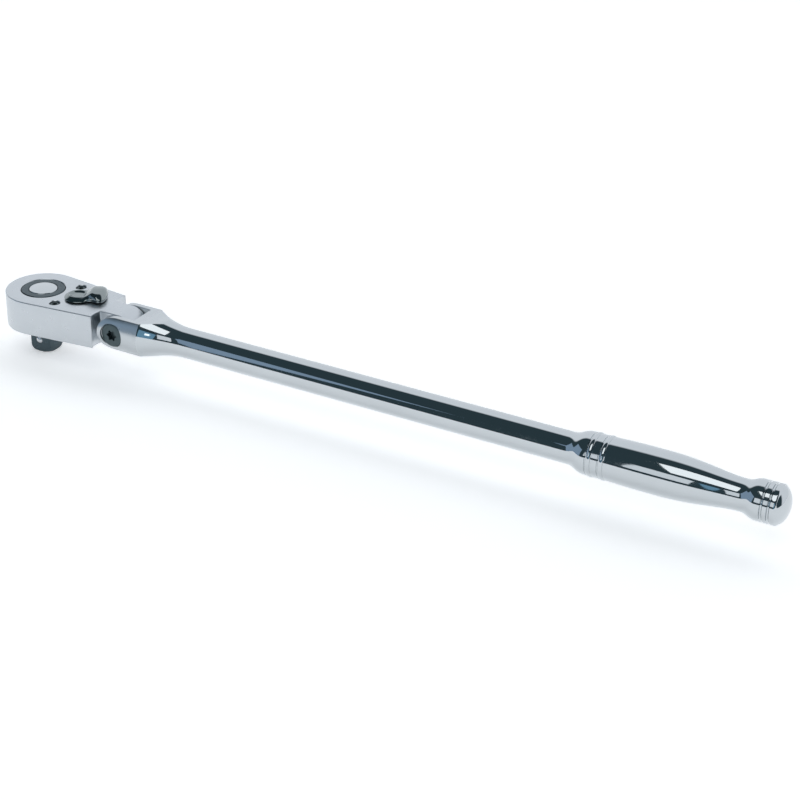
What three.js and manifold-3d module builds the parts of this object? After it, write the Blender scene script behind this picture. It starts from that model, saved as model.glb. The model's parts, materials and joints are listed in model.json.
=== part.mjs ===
// Flexible-head ratchet wrench, half-inch square drive.
// Millimetres, +X along the handle from the drive axis to the butt, +Z up, drive end face on Z = 0.

import * as THREE from 'three';
import Module from 'manifold-3d';
import { mergeVertices } from 'three/addons/utils/BufferGeometryUtils.js';

const wasm = await Module();
wasm.setup();

// ---- driving dimensions ----------------------------------------------------

const GAP = 0.25;                    // clearance kept between touching pieces
const SMALL_GAP = 0.15;              // clearance of a rubber ring in its groove

const DRIVE_ACROSS_FLATS = 12.7;     // half-inch square
const DRIVE_CORNER_RADIUS = 8.3;     // turned corners of the square
const DRIVE_END_RADIUS = 6.3;        // radius of the turned end face
const DRIVE_END_HEIGHT = 3.2;        // height of the rounding above it

const AXIS_Z = 25;                   // height of the handle axis over the drive end
const HEAD_HALF = 9.2;               // half thickness of the head
const HEAD_RADIUS = 19.8;            // round nose of the head
const FLANK_ANGLE = 6.2 * Math.PI / 180;
const SHOULDER_X = 42.3;             // where the head steps down to its tongue
const SHOULDER_DISH = 0.8;           // hollow of the shoulders beside the tongue
const PIVOT_X = 53.2;                // flex joint axis
const TONGUE_HALF = 7.1;             // half thickness of the tongue
const TONGUE_RADIUS = HEAD_HALF;     // round end of the tongue, seen from the side

const YOKE_RADIUS = 13.8;
const EAR_RADIUS = 9;                // round end of each ear, seen from the side
const EAR_FLAT_HALF = 9.2;           // half height of the milled ears
const SLOT_END_X = 64;
const SLOT_HALF = TONGUE_HALF + GAP;
const TAPER_X = 69;                  // crease where the yoke's round sides turn into the taper
const FLAT_END_X = 82;               // just past where the milled flats run out in the taper
const ROD_START_X = 91;              // end of the taper behind the yoke
const ROD_END_X = 308;
const ROD_RADIUS = 7.93;
const COLLAR_X = 318;                // front of the grip
const COLLAR_RADIUS = 10.6;
const BEADS_X = [321.3, 327.7];      // two raised beads round the collar
const BARREL_X = 352;                // thickest place of the grip
const BARREL_RADIUS = 11;
const NECK_X = 394;                  // thinnest place of the grip
const NECK_RADIUS = 7.8;
const KNOB_X = 402.4;
const KNOB_RADIUS = 9.9;
const GROOVES_X = [405.6, 409];      // two grooves round the knob
const KNOB_EDGE_X = 411.7;           // where the butt starts to round over
const BUTT_X = 416.4;

const TOOTH_COUNT = 48;
const GEAR_TIP_RADIUS = 12.6;
const GEAR_ROOT_RADIUS = 11.7;
const HUB_RADIUS = 11.45;            // round top of the gear, seen on the head
const JOURNAL_RADIUS = 9.6;          // lower bearing of the gear
const PLATE_THICKNESS = 2.8;
const ROOF_THICKNESS = 4.2;          // head wall over the gear

const LEVER_X = 23.5;                // reverse lever axis
const LEVER_ANGLE = 29 * Math.PI / 180;
const LEVER_SHAFT_RADIUS = 3.4;
const PAWL_HINGE_X = 17.2;           // line about which the pawl rocks
const PAWL_ROCK = 6 * Math.PI / 180; // either side of its middle position

const BUTTON_RADIUS = 7.4;
const BUTTON_TRAVEL = 2.25;
const STEM_RADIUS = 1.5;
const STEM_FOOT_RADIUS = 2.4;        // pushes the socket ball out
const BALL_RADIUS = 2.35;
const BALL_Z = 6.6;
const BALL_RAMP = 0.4;               // ball travel for each millimetre of button travel

// ---- heights that follow from them -----------------------------------------

const HEAD_TOP = AXIS_Z + HEAD_HALF;
const HEAD_BOTTOM = AXIS_Z - HEAD_HALF;
const PLATE_TOP = HEAD_BOTTOM + PLATE_THICKNESS;
const ROOF_Z = HEAD_TOP - ROOF_THICKNESS;
const WASHER_THICKNESS = 0.5;
const GEAR_BOTTOM = PLATE_TOP + GAP;
const GEAR_TOP = ROOF_Z - WASHER_THICKNESS - 2 * GAP;
const HALF_ACROSS = DRIVE_ACROSS_FLATS / 2;
const FINE = 36;                     // segments of a large round piece
const COARSE = 20;                   // segments of a small one

// ---- solid helpers ---------------------------------------------------------

// One closed, outward-facing solid from a three.js geometry.
function solid(geometry) {
  const plain = geometry.clone();
  plain.deleteAttribute('normal');
  plain.deleteAttribute('uv');
  const merged = mergeVertices(plain, 1e-4);
  const vertices = merged.getAttribute('position').array;
  const triangles = Array.from(merged.index.array);
  const corner = (i) => new THREE.Vector3().fromArray(vertices, 3 * triangles[i]);
  let volume = 0;
  for (let i = 0; i < triangles.length; i += 3) {
    volume += corner(i).dot(corner(i + 1).cross(corner(i + 2)));
  }
  const kept = [];
  for (let i = 0; i < triangles.length; i += 3) {
    const [a, b, c] = triangles.slice(i, i + 3);
    if (a === b || b === c || c === a) continue;
    kept.push(a, ...(volume < 0 ? [c, b] : [b, c]));
  }
  return new wasm.Manifold(new wasm.Mesh({
    numProp: 3,
    vertProperties: new Float32Array(vertices),
    triVerts: new Uint32Array(kept),
  }));
}

function geometryOf(body) {
  const mesh = body.getMesh();
  const geometry = new THREE.BufferGeometry();
  geometry.setAttribute('position', new THREE.BufferAttribute(mesh.vertProperties, mesh.numProp));
  geometry.setIndex(new THREE.BufferAttribute(mesh.triVerts, 1));
  return geometry;
}

const join = (...bodies) => bodies.reduce((all, body) => all.add(body));
const cut = (body, ...tools) => tools.reduce((rest, tool) => rest.subtract(tool), body);

// A round solid whose profile is a list of [radius, height], turned about Z at (x, y).
function turned(profile, x = 0, y = 0, segments = FINE) {
  const points = profile.map(([radius, height]) => new THREE.Vector2(radius, height));
  const geometry = new THREE.LatheGeometry(points, segments);
  geometry.rotateX(Math.PI / 2);
  geometry.translate(x, y, 0);
  return solid(geometry);
}

function pillar(radius, z0, z1, x = 0, y = 0, segments = FINE) {
  return turned([[0, z0], [radius, z0], [radius, z1], [0, z1]], x, y, segments);
}

// A flat ring about Z.
function ring(inner, outer, z0, z1, x = 0, segments = FINE) {
  return turned([[inner, z0], [outer, z0], [outer, z1], [inner, z1], [inner, z0]], x, 0, segments);
}

// A rubber ring about Z.
function oRing(radius, section, z, x = 0, segments = FINE) {
  const profile = [];
  for (let i = 0; i <= 6; i++) {
    const angle = 2 * Math.PI * i / 6;
    profile.push([radius + section * Math.cos(angle), z + section * Math.sin(angle)]);
  }
  profile[6] = profile[0];
  return turned(profile, x, 0, segments);
}

function block(x0, x1, y0, y1, z0, z1) {
  const geometry = new THREE.BoxGeometry(x1 - x0, y1 - y0, z1 - z0);
  geometry.translate((x0 + x1) / 2, (y0 + y1) / 2, (z0 + z1) / 2);
  return solid(geometry);
}

// A plan outline raised from z0 to z1, with an optional edge chamfer top and bottom.
function raised(outline, z0, z1, chamfer = 0, curveSegments = 16) {
  const geometry = new THREE.ExtrudeGeometry(outline, {
    depth: z1 - z0 - 2 * chamfer,
    curveSegments,
    bevelEnabled: chamfer > 0,
    bevelThickness: chamfer,
    bevelSize: chamfer,
    bevelOffset: -chamfer,
    bevelSegments: 1,
  });
  geometry.translate(0, 0, z0 + chamfer);
  return solid(geometry);
}

// Turns a solid made about Z so that its axis points along `direction` from `origin`.
function aimed(body, direction, origin) {
  const geometry = geometryOf(body);
  const turn = new THREE.Quaternion().setFromUnitVectors(
    new THREE.Vector3(0, 0, 1), new THREE.Vector3(...direction).normalize());
  geometry.applyQuaternion(turn);
  geometry.translate(...origin);
  return solid(geometry);
}

// Swings a solid about the vertical line through (x, 0).
function swung(body, angle, x = 0) {
  const geometry = geometryOf(body);
  geometry.translate(-x, 0, 0);
  geometry.rotateZ(angle);
  geometry.translate(x, 0, 0);
  return solid(geometry);
}

class Helix extends THREE.Curve {
  constructor(radius, height, turns) {
    super();
    Object.assign(this, { radius, height, turns });
  }

  getPoint(t) {
    const angle = 2 * Math.PI * this.turns * t;
    return new THREE.Vector3(
      this.radius * Math.cos(angle), this.radius * Math.sin(angle), this.height * t);
  }
}

// A compression spring standing on Z = 0.
function spring(coilRadius, wireRadius, height, turns) {
  const section = new THREE.Shape();
  section.absarc(0, 0, wireRadius, 0, 2 * Math.PI);
  const path = new Helix(coilRadius, height - 2 * wireRadius, turns);
  const geometry = new THREE.ExtrudeGeometry(section, {
    steps: Math.round(turns * 9),
    curveSegments: 3,
    extrudePath: path,
    bevelEnabled: false,
  });
  geometry.translate(0, 0, wireRadius);
  return solid(geometry);
}

// ---- looks and names -------------------------------------------------------

const FINISH = {
  chrome: { color: 0xd5dade, roughness: 0.14, metalness: 1 },
  satinChrome: { color: 0xbcc3cb, roughness: 0.42, metalness: 1 },
  smokedChrome: { color: 0x6a7478, roughness: 0.2, metalness: 1 },
  blackSteel: { color: 0x3c474c, roughness: 0.48, metalness: 0.8 },
  steel: { color: 0x9aa1a6, roughness: 0.35, metalness: 1 },
  rubber: { color: 0x1a1b1c, roughness: 0.8, metalness: 0 },
};

const wrench = new THREE.Group();

function addPiece(name, body, finish) {
  const piece = new THREE.Mesh(geometryOf(body), new THREE.MeshStandardMaterial(FINISH[finish]));
  piece.name = name;
  wrench.add(piece);
}

// ---- outlines --------------------------------------------------------------

// Pear shape seen from above: round nose about the drive axis, straight flanks, then a square tail.
function pearOutline(radius, tailX, tailCorner) {
  const tangentX = radius * Math.sin(FLANK_ANGLE);
  const tangentY = radius * Math.cos(FLANK_ANGLE);
  const flankY = (x) => tangentY - (x - tangentX) * Math.tan(FLANK_ANGLE);
  const outline = new THREE.Shape();
  outline.absarc(0, 0, radius, Math.PI / 2 - FLANK_ANGLE, -Math.PI / 2 + FLANK_ANGLE, false);
  outline.lineTo(tailX - tailCorner, -flankY(tailX - tailCorner));
  outline.quadraticCurveTo(tailX, -flankY(tailX), tailX, -flankY(tailX) + tailCorner);
  outline.lineTo(tailX, flankY(tailX) - tailCorner);
  outline.quadraticCurveTo(tailX, flankY(tailX), tailX - tailCorner, flankY(tailX - tailCorner));
  outline.closePath();
  return outline;
}

// Ratchet teeth as a plan outline; `grow` moves every flank outward.
function toothOutline(grow) {
  const outline = new THREE.Shape();
  for (let i = 0; i < 2 * TOOTH_COUNT; i++) {
    const radius = (i % 2 ? GEAR_TIP_RADIUS : GEAR_ROOT_RADIUS) + grow;
    const angle = Math.PI * i / TOOTH_COUNT;
    outline[i ? 'lineTo' : 'moveTo'](radius * Math.cos(angle), radius * Math.sin(angle));
  }
  return outline;
}

// Six-lobed key recess.
function lobedOutline(radius) {
  const outline = new THREE.Shape();
  for (let i = 0; i < 36; i++) {
    const angle = 2 * Math.PI * i / 36;
    const lobe = radius * (0.86 + 0.14 * Math.cos(6 * angle));
    outline[i ? 'lineTo' : 'moveTo'](lobe * Math.cos(angle), lobe * Math.sin(angle));
  }
  return outline;
}

// ---- handle: yoke, rod, grip and knob in one forging ------------------------

// Radius against distance along the handle: yoke, taper, rod, collar with beads, barrel, neck, knob.
function handleProfile() {
  const yokeFront = PIVOT_X - EAR_RADIUS - 1;
  const beadHalf = 1.1;
  const beadHeight = 0.7;
  const grooveHalf = 0.55;
  const path = new THREE.Path();
  path.moveTo(0, yokeFront);
  path.lineTo(YOKE_RADIUS, yokeFront);
  path.lineTo(YOKE_RADIUS, TAPER_X);
  path.bezierCurveTo(YOKE_RADIUS - 1.95, TAPER_X + 2.9, ROD_RADIUS + 0.36, TAPER_X + 11.5,
    ROD_RADIUS, ROD_START_X);
  path.lineTo(ROD_RADIUS, ROD_END_X);
  path.bezierCurveTo(ROD_RADIUS, ROD_END_X + 4.5, COLLAR_RADIUS - 0.1, COLLAR_X - 4.5,
    COLLAR_RADIUS, COLLAR_X);
  for (const beadX of BEADS_X) {
    path.lineTo(COLLAR_RADIUS, beadX - beadHalf);
    path.quadraticCurveTo(COLLAR_RADIUS + beadHeight, beadX, COLLAR_RADIUS, beadX + beadHalf);
  }
  path.lineTo(BARREL_RADIUS, BARREL_X);
  path.bezierCurveTo(BARREL_RADIUS + 0.2, BARREL_X + 21, NECK_RADIUS + 0.1, NECK_X - 11,
    NECK_RADIUS, NECK_X);
  path.bezierCurveTo(NECK_RADIUS, NECK_X + 4, KNOB_RADIUS - 0.1, KNOB_X - 3.9, KNOB_RADIUS, KNOB_X);
  for (const grooveX of GROOVES_X) {
    path.lineTo(KNOB_RADIUS + 0.2, grooveX - grooveHalf);
    path.quadraticCurveTo(KNOB_RADIUS - 0.8, grooveX, KNOB_RADIUS + 0.2, grooveX + grooveHalf);
  }
  path.lineTo(KNOB_RADIUS, KNOB_EDGE_X);
  path.bezierCurveTo(KNOB_RADIUS - 1.3, KNOB_EDGE_X + 3.3, KNOB_RADIUS / 2, BUTT_X, 0, BUTT_X);
  return path.getPoints(4);
}

// Side view of the yoke: rounded ears, then the milled flats above and below.
function earOutline() {
  const outline = new THREE.Shape();
  outline.moveTo(FLAT_END_X + 1, AXIS_Z - EAR_FLAT_HALF);
  outline.lineTo(PIVOT_X + 2, AXIS_Z - EAR_FLAT_HALF);
  outline.quadraticCurveTo(PIVOT_X - EAR_RADIUS, AXIS_Z - EAR_FLAT_HALF, PIVOT_X - EAR_RADIUS, AXIS_Z);
  outline.quadraticCurveTo(PIVOT_X - EAR_RADIUS, AXIS_Z + EAR_FLAT_HALF,
    PIVOT_X + 2, AXIS_Z + EAR_FLAT_HALF);
  outline.lineTo(FLAT_END_X + 1, AXIS_Z + EAR_FLAT_HALF);
  outline.closePath();
  return outline;
}

// A side-view outline (x, z) made solid between y0 and y1.
function sideways(outline, y0, y1) {
  const geometry = new THREE.ExtrudeGeometry(outline, {
    depth: y1 - y0, curveSegments: 16, bevelEnabled: false,
  });
  geometry.rotateX(Math.PI / 2);
  geometry.translate(0, y1, 0);
  return solid(geometry);
}

const SCREW_HEAD_RADIUS = 6.3;
const SCREW_FACE_Y = -12.9;
const SCREW_SHANK_RADIUS = 3.4;
const SCREW_END_Y = 12.2;
const CONE_DEPTH = SCREW_HEAD_RADIUS - SCREW_SHANK_RADIUS;
const ALONG_Y = [0, 1, 0];
const PIVOT = [PIVOT_X, 0, AXIS_Z];

// The pivot screw's outline about its own axis, grown by `grow` for the hole it sits in.
function screwProfile(grow, faceY, endY) {
  const head = SCREW_HEAD_RADIUS + grow;
  const shank = SCREW_SHANK_RADIUS + grow;
  return [[0, faceY], [head, faceY], [head, SCREW_FACE_Y + 0.5],
    [shank, SCREW_FACE_Y + 0.5 + CONE_DEPTH], [shank, endY], [0, endY]];
}

const DETENT_BORE_RADIUS = 2.4;
const DETENT_BALL_RADIUS = 2.1;
const DETENT_BORE_END_X = 74;
const DETENT_BALL_X = PIVOT_X + TONGUE_RADIUS + GAP + DETENT_BALL_RADIUS;

function makeHandle() {
  const profile = handleProfile().map((point) => [point.x, point.y]);
  const blank = aimed(turned(profile), [1, 0, 0], [0, 0, AXIS_Z]);
  const reach = YOKE_RADIUS + 1;
  const front = sideways(earOutline(), -reach, reach);
  const rear = block(FLAT_END_X, BUTT_X + 1, -reach, reach, AXIS_Z - reach, AXIS_Z + reach);
  const slot = block(0, SLOT_END_X, -SLOT_HALF, SLOT_HALF, AXIS_Z - reach, AXIS_Z + reach);
  const seat = aimed(turned(screwProfile(GAP, -reach, reach), 0, 0, COARSE), ALONG_Y, PIVOT);
  const detentBore = aimed(pillar(DETENT_BORE_RADIUS, SLOT_END_X - 1, DETENT_BORE_END_X, 0, 0, 16),
    [1, 0, 0], [0, 0, AXIS_Z]);
  return cut(blank.intersect(join(front, rear)), slot, seat, detentBore);
}

addPiece('handle', makeHandle(), 'chrome');

// ---- flex joint ------------------------------------------------------------

function makePivotScrew() {
  const body = turned(screwProfile(0, SCREW_FACE_Y, SCREW_END_Y), 0, 0, COARSE);
  const key = raised(lobedOutline(2.6), SCREW_FACE_Y - 1, SCREW_FACE_Y + 2.2);
  return aimed(cut(body, key), ALONG_Y, PIVOT);
}

addPiece('pivot_screw', makePivotScrew(), 'blackSteel');

const FRICTION_WASHER_RADIUS = 6.5;
const FRICTION_WASHER_THICKNESS = 0.55;
const FRICTION_WASHER_Y = SLOT_HALF - 0.2 - FRICTION_WASHER_THICKNESS;
const WASHER_SEAT_Y = FRICTION_WASHER_Y - 0.2;

for (const [name, side] of [['friction_washer_near', -1], ['friction_washer_far', 1]]) {
  const washer = ring(SCREW_SHANK_RADIUS + GAP, FRICTION_WASHER_RADIUS,
    FRICTION_WASHER_Y, FRICTION_WASHER_Y + FRICTION_WASHER_THICKNESS, 0, COARSE);
  addPiece(name, aimed(washer, [0, side, 0], PIVOT), 'steel');
}

function makeDetentBall() {
  const ball = solid(new THREE.SphereGeometry(DETENT_BALL_RADIUS, 12, 8));
  return aimed(ball, [0, 0, 1], [DETENT_BALL_X, 0, AXIS_Z]);
}

addPiece('detent_ball', makeDetentBall(), 'steel');

const DETENT_SPRING_START = DETENT_BALL_X + DETENT_BALL_RADIUS + GAP;
addPiece('detent_spring', aimed(spring(1.6, 0.35, DETENT_BORE_END_X - GAP - DETENT_SPRING_START, 5),
  [1, 0, 0], [DETENT_SPRING_START, 0, AXIS_Z]), 'steel');

// ---- head housing ----------------------------------------------------------

const PLATE_INSET = 2.6;
const PLATE_TAIL_X = 31;
const COVER_SCREW_X = 16.2;
const COVER_SCREW_Y = 11.4;
const COVER_SCREW_HEAD_RADIUS = 2.6;
const COVER_SCREW_SHANK_RADIUS = 2;
const COVER_SCREW_TOP = HEAD_TOP - 0.6;
const COVER_SCREW_HEAD_BOTTOM = HEAD_TOP - 3.4;
const POCKET_RADIUS = 16.7;
const POCKET_HALF = 9.6;
const PLUNGER_REACH = 5.1;
const PLATE_BORE_RADIUS = JOURNAL_RADIUS + GAP;

// The room for the gear, the pawl and the lever's shaft, open at the bottom.
function makeHeadRoom() {
  const floor = HEAD_BOTTOM - 1;
  const gearRoom = pillar(GEAR_TIP_RADIUS + 0.4, floor, ROOF_Z);
  const hubBore = pillar(HUB_RADIUS + 0.4, floor, HEAD_TOP + 1);
  const pawlRoom = pillar(POCKET_RADIUS, floor, ROOF_Z)
    .intersect(block(0, POCKET_RADIUS + 1, -POCKET_HALF, POCKET_HALF, floor, ROOF_Z));
  const leverRoom = pillar(PLUNGER_REACH + 0.4, floor, ROOF_Z, LEVER_X, 0, COARSE);
  const throat = block(POCKET_RADIUS - 3, LEVER_X, -4.4, 4.4, floor, ROOF_Z);
  const leverBore = pillar(LEVER_SHAFT_RADIUS + GAP, floor, HEAD_TOP + 1, LEVER_X, 0, COARSE);
  return join(gearRoom, hubBore, pawlRoom, leverRoom, throat, leverBore);
}

function makeTongue() {
  const bar = block(SHOULDER_X - 4, PIVOT_X, -TONGUE_HALF, TONGUE_HALF, HEAD_BOTTOM, HEAD_TOP);
  const end = aimed(pillar(TONGUE_RADIUS, -TONGUE_HALF, TONGUE_HALF), ALONG_Y, PIVOT);
  return join(bar, end);
}

// The round hollow of one shoulder, which the yoke's ear clears as the head tilts.
function shoulderHollow(side) {
  const halfWidth = 4.1;
  const radius = (halfWidth ** 2 + SHOULDER_DISH ** 2) / (2 * SHOULDER_DISH);
  return pillar(radius, HEAD_BOTTOM - 1, HEAD_TOP + 1,
    SHOULDER_X - SHOULDER_DISH + radius, side * (TONGUE_HALF + halfWidth), 60);
}

function makeHeadHousing() {
  const pear = raised(pearOutline(HEAD_RADIUS, SHOULDER_X, 0.7), HEAD_BOTTOM, HEAD_TOP, 0.5);
  const shell = cut(pear, shoulderHollow(-1), shoulderHollow(1));
  const plateSeat = raised(pearOutline(HEAD_RADIUS - PLATE_INSET + GAP, PLATE_TAIL_X + GAP, 6),
    HEAD_BOTTOM - 1, PLATE_TOP);
  const pivotBore = aimed(pillar(SCREW_SHANK_RADIUS + GAP, -20, 20, 0, 0, COARSE), ALONG_Y, PIVOT);
  const tools = [makeHeadRoom(), plateSeat, pivotBore];
  for (const side of [-1, 1]) {
    tools.push(pillar(COVER_SCREW_HEAD_RADIUS + GAP, COVER_SCREW_HEAD_BOTTOM - GAP, HEAD_TOP + 1,
      COVER_SCREW_X, side * COVER_SCREW_Y, COARSE));
    tools.push(pillar(COVER_SCREW_SHANK_RADIUS + GAP, HEAD_BOTTOM, HEAD_TOP,
      COVER_SCREW_X, side * COVER_SCREW_Y, COARSE));
    tools.push(aimed(pillar(FRICTION_WASHER_RADIUS + GAP, WASHER_SEAT_Y, TONGUE_HALF + 1, 0, 0, COARSE),
      [0, side, 0], PIVOT));
  }
  return cut(join(shell, makeTongue()), ...tools);
}

addPiece('head_housing', makeHeadHousing(), 'satinChrome');

function makeCoverPlate() {
  const plate = raised(pearOutline(HEAD_RADIUS - PLATE_INSET, PLATE_TAIL_X, 6), HEAD_BOTTOM, PLATE_TOP);
  const bore = pillar(PLATE_BORE_RADIUS, HEAD_BOTTOM - 1, PLATE_TOP + 1);
  const screwHoles = [-1, 1].map((side) => pillar(COVER_SCREW_SHANK_RADIUS + GAP,
    HEAD_BOTTOM - 1, PLATE_TOP + 1, COVER_SCREW_X, side * COVER_SCREW_Y, COARSE));
  return cut(plate, bore, ...screwHoles);
}

addPiece('cover_plate', makeCoverPlate(), 'satinChrome');

for (const [name, side] of [['cover_screw_near', -1], ['cover_screw_far', 1]]) {
  const body = turned([[0, HEAD_BOTTOM + 0.4], [COVER_SCREW_SHANK_RADIUS, HEAD_BOTTOM + 0.4],
    [COVER_SCREW_SHANK_RADIUS, COVER_SCREW_HEAD_BOTTOM],
    [COVER_SCREW_HEAD_RADIUS, COVER_SCREW_HEAD_BOTTOM],
    [COVER_SCREW_HEAD_RADIUS, COVER_SCREW_TOP], [0, COVER_SCREW_TOP]], 0, 0, COARSE);
  const key = pillar(1.5, COVER_SCREW_TOP - 1.6, COVER_SCREW_TOP + 1, 0, 0, 6);
  const screw = cut(body, key);
  addPiece(name, aimed(screw, [0, 0, 1], [COVER_SCREW_X, side * COVER_SCREW_Y, 0]), 'blackSteel');
}

// ---- gear with the square drive --------------------------------------------

const HUB_TOP = HEAD_TOP + 0.1;
const CAP_FLOOR_Z = ROOF_Z - 0.4;
const SPRING_FLOOR_Z = AXIS_Z - 4;
const SPRING_ROOM_RADIUS = 4.4;
const STEM_BORE_RADIUS = STEM_FOOT_RADIUS + GAP;
const STEM_BORE_FLOOR = 1.6;
const BALL_REACH = STEM_FOOT_RADIUS + 0.2 + BALL_RADIUS;
const BALL_LIP_RADIUS = 2.05;
const SEAL_SECTION = 0.5;
const SEAL_Z = HEAD_TOP - 2.4;

// The square bar with its corners and its end turned round.
function makeDriveSquare() {
  const bar = block(-HALF_ACROSS, HALF_ACROSS, -HALF_ACROSS, HALF_ACROSS, 0, HEAD_BOTTOM + 0.2);
  const profile = [[0, 0], [DRIVE_END_RADIUS, 0]];
  for (let i = 1; i <= 4; i++) {
    const angle = Math.PI / 2 * i / 4;
    profile.push([DRIVE_END_RADIUS + (DRIVE_CORNER_RADIUS - DRIVE_END_RADIUS) * Math.sin(angle),
      DRIVE_END_HEIGHT * (1 - Math.cos(angle))]);
  }
  profile.push([DRIVE_CORNER_RADIUS, HEAD_BOTTOM + 0.2], [0, HEAD_BOTTOM + 0.2]);
  return bar.intersect(turned(profile));
}

// The ball's hole, narrowed at the face so that the ball stays in.
function makeBallHole() {
  const lipZ = HALF_ACROSS - 0.6;
  return aimed(turned([[0, 0], [BALL_RADIUS + GAP, 0], [BALL_RADIUS + GAP, lipZ],
    [BALL_LIP_RADIUS, HALF_ACROSS], [BALL_LIP_RADIUS, HALF_ACROSS + 1], [0, HALF_ACROSS + 1]],
  0, 0, COARSE), [0, -1, 0], [0, 0, BALL_Z]);
}

function makeDriveGear() {
  const teeth = raised(toothOutline(0), GEAR_BOTTOM, GEAR_TOP);
  const journal = pillar(JOURNAL_RADIUS, HEAD_BOTTOM + 0.1, GEAR_BOTTOM + 0.5);
  const grooveRadius = HUB_RADIUS - 2 * SEAL_SECTION;
  const hub = turned([[0, GEAR_TOP - 0.5], [HUB_RADIUS, GEAR_TOP - 0.5],
    [HUB_RADIUS, SEAL_Z - 0.75], [grooveRadius, SEAL_Z - 0.75], [grooveRadius, SEAL_Z + 0.75],
    [HUB_RADIUS, SEAL_Z + 0.75], [HUB_RADIUS, HUB_TOP], [0, HUB_TOP]]);
  const capRoom = pillar(BUTTON_RADIUS + GAP, CAP_FLOOR_Z, HUB_TOP + 1);
  const springRoom = pillar(SPRING_ROOM_RADIUS, SPRING_FLOOR_Z, HUB_TOP + 1, 0, 0, COARSE);
  const stemBore = pillar(STEM_BORE_RADIUS, STEM_BORE_FLOOR, HUB_TOP, 0, 0, COARSE);
  const body = join(makeDriveSquare(), journal, teeth, hub);
  return cut(body, capRoom, springRoom, stemBore, makeBallHole());
}

addPiece('drive_gear', makeDriveGear(), 'blackSteel');

addPiece('hub_seal', oRing(HUB_RADIUS - SEAL_SECTION + SMALL_GAP, SEAL_SECTION, SEAL_Z), 'rubber');

addPiece('thrust_washer', ring(HUB_RADIUS + GAP, GEAR_TIP_RADIUS - 0.1,
  GEAR_TOP + GAP, GEAR_TOP + GAP + WASHER_THICKNESS), 'steel');

// ---- quick release: button, spring and socket ball --------------------------

const BUTTON_TOP = HUB_TOP + 0.5;
const BUTTON_BOTTOM = HUB_TOP - 1.8;

function makeReleaseButton() {
  const rampZ = BALL_Z - BALL_RAMP;
  const rampTop = rampZ + (STEM_FOOT_RADIUS - STEM_RADIUS) / BALL_RAMP;
  const foot = STEM_BORE_FLOOR + BUTTON_TRAVEL + GAP;
  return turned([[0, foot], [STEM_FOOT_RADIUS, foot], [STEM_FOOT_RADIUS, rampZ],
    [STEM_RADIUS, rampTop], [STEM_RADIUS, BUTTON_BOTTOM], [BUTTON_RADIUS, BUTTON_BOTTOM],
    [BUTTON_RADIUS, HUB_TOP - 0.2], [BUTTON_RADIUS - 0.7, HUB_TOP + 0.25], [4, BUTTON_TOP - 0.05],
    [0, BUTTON_TOP]], 0, 0, 40);
}

addPiece('release_button', makeReleaseButton(), 'chrome');

const releaseSpring = spring(3.4, 0.45, BUTTON_BOTTOM - SPRING_FLOOR_Z - 2 * GAP, 6);
addPiece('release_spring', aimed(releaseSpring, [0, 0, 1], [0, 0, SPRING_FLOOR_Z + GAP]), 'steel');

const socketBall = solid(new THREE.SphereGeometry(BALL_RADIUS, 16, 10));
addPiece('socket_ball', aimed(socketBall, [0, 0, 1], [0, -BALL_REACH, BALL_Z]), 'steel');

// ---- pawl ------------------------------------------------------------------

const PAWL_BACK_RADIUS = PLUNGER_REACH + GAP;
const PAWL_OUTER_RADIUS = 15.2;
const PAWL_HALF = 8.4;
const PAWL_BOTTOM = PLATE_TOP + 0.5;
const PAWL_TOP = ROOF_Z - 1.4;

// A toothed crescent made in its middle position, then rocked so that its near end bites.
function makePawl() {
  const wide = block(4, LEVER_X, -PAWL_HALF, PAWL_HALF, PAWL_BOTTOM, PAWL_TOP);
  const crescent = pillar(PAWL_OUTER_RADIUS, PAWL_BOTTOM, PAWL_TOP).intersect(wide);
  const back = block(POCKET_RADIUS - 5, PAWL_HINGE_X + 1, -3.9, 3.9, PAWL_BOTTOM, PAWL_TOP);
  const leverSide = pillar(PAWL_BACK_RADIUS, PAWL_BOTTOM - 1, PAWL_TOP + 1, LEVER_X, 0, COARSE);
  const cutter = raised(toothOutline(0.37), PAWL_BOTTOM - 1, PAWL_TOP + 1);
  const cutters = [-1, -0.5, 0, 0.5, 1].map((share) => swung(cutter, share * PAWL_ROCK, PAWL_HINGE_X));
  const middle = cut(join(crescent, back), leverSide, ...cutters);
  return swung(middle, -PAWL_ROCK, PAWL_HINGE_X);
}

addPiece('pawl', makePawl(), 'blackSteel');

// ---- reverse lever with its plunger ----------------------------------------

const PLUNGER_Z = AXIS_Z - 1.4;
const PLUNGER_RADIUS = 1.45;
const PLUNGER_LENGTH = 3.2;
const PLUNGER_BORE_END = 2.1;        // past the shaft's axis
const PLUNGER_AIM = [-Math.cos(LEVER_ANGLE), -Math.sin(LEVER_ANGLE), 0];
const LEVER_AXIS = [LEVER_X, 0, PLUNGER_Z];
const CLIP_Z = ROOF_Z - 0.95;
const CLIP_THICKNESS = 0.6;
const CLIP_GROOVE_RADIUS = 2.7;
const LEVER_SEAL_SECTION = 0.45;
const LEVER_BASE_Z = HEAD_TOP + 0.3;
const LEVER_BASE_TOP = HEAD_TOP + 2.6;
const LEVER_PAD_TOP = HEAD_TOP + 5.6;
const LEVER_CROWN_RADIUS = 13;       // dome of the pad, seen along the lever

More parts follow.
